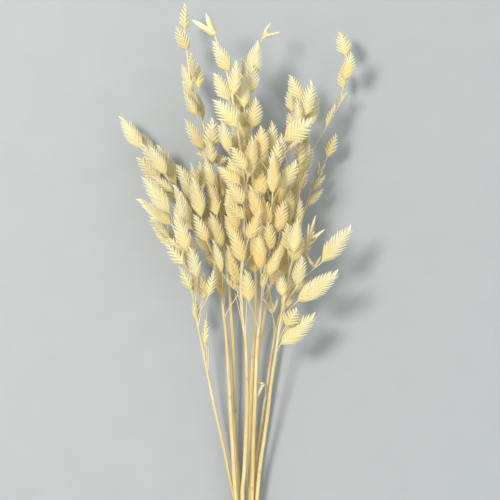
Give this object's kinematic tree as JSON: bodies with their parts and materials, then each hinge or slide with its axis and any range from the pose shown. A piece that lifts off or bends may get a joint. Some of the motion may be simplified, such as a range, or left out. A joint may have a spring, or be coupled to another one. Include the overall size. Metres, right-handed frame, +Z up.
{
  "type": "dried northern sea oats bunch",
  "caption": "Bunch of dried sea oats stems with flat saw-edged seed heads on thin stalks, tied with raffia and lying on a surface.",
  "frame": {"origin": "on the surface, under the middle of the bunch's bounding box", "axes": "+Y from the cut ends towards the seed heads, +Z up from the surface it lies on"},
  "size_m": [0.1666, 0.513, 0.078],
  "materials": {
    "bleached_straw": "matte, papery",
    "raffia": "matte, fibrous"
  },
  "bodies": {
    "root": {"stem_left_low": "bleached_straw", "stem_left_far": "bleached_straw", "stem_left_tall": "bleached_straw", "stem_centre_left": "bleached_straw", "stem_centre": "bleached_straw", "stem_centre_full": "bleached_straw", "stem_right_cluster": "bleached_straw", "stem_right_thin": "bleached_straw", "stem_right_small": "bleached_straw", "stem_right_drooping": "bleached_straw", "bunch_tie": "raffia"}
  },
  "joints": []
}
